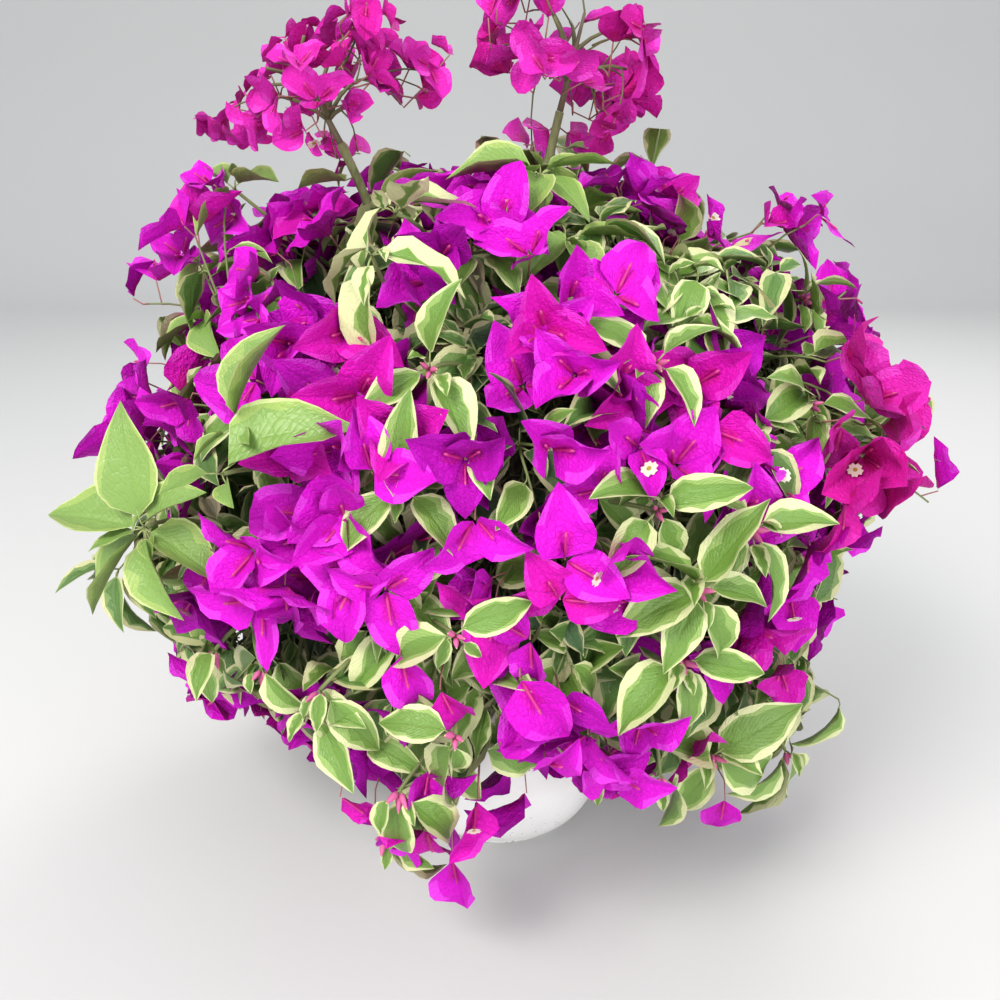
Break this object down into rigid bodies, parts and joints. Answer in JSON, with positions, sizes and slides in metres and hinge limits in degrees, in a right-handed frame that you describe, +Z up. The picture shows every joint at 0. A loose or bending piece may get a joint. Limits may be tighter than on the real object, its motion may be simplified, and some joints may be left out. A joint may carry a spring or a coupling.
{
  "type": "bougainvillea bush in a pot",
  "caption": "Potted bougainvillea bush: domed crown of magenta papery bracts and cream-edged leaves over a white bowl pot, with tall arching blossom sprays on canes.",
  "frame": {"origin": "centre of the pot's flat underside", "axes": "+Z up; the front of the plant, as first seen, faces -Y; +X to the right from the front"},
  "size_m": [0.5378, 0.4766, 0.6036],
  "materials": {
    "pot": "satin moulded",
    "soil": "loose crumbly soil",
    "bark": "rough grey-brown bark",
    "cane": "smooth green-brown cane",
    "leaf": "satin leaf, cream edge",
    "bract": "matte papery bract"
  },
  "bodies": {
    "root": {"pot": "pot", "soil": "soil", "trunk": "bark", "bough_01": "bark", "bough_02": "bark", "bough_03": "bark", "bough_04": "bark", "bough_05": "bark", "bough_06": "bark", "bough_07": "bark", "bough_08": "bark", "bough_09": "bark", "bough_10": "bark", "bough_11": "bark", "bough_12": "bark", "cane_left": "cane", "cane_right": "cane", "leaf_mass_01": "leaf", "leaf_mass_02": "leaf", "leaf_mass_03": "leaf", "leaf_mass_04": "leaf", "leaf_mass_05": "leaf", "leaf_mass_06": "leaf", "leaf_mass_07": "leaf", "leaf_mass_08": "leaf", "leaf_mass_09": "leaf", "leaf_mass_10": "leaf", "leaf_mass_11": "leaf", "leaf_mass_12": "leaf", "blossom_mass_01": "bract", "blossom_mass_02": "bract", "blossom_mass_03": "bract", "blossom_mass_04": "bract", "blossom_mass_05": "bract", "blossom_mass_06": "bract", "blossom_mass_07": "bract", "blossom_mass_08": "bract", "blossom_mass_09": "bract", "blossom_mass_10": "bract", "blossom_mass_11": "bract", "blossom_mass_12": "bract", "spray_mass_left": "bract", "spray_mass_right": "bract"}
  },
  "joints": []
}
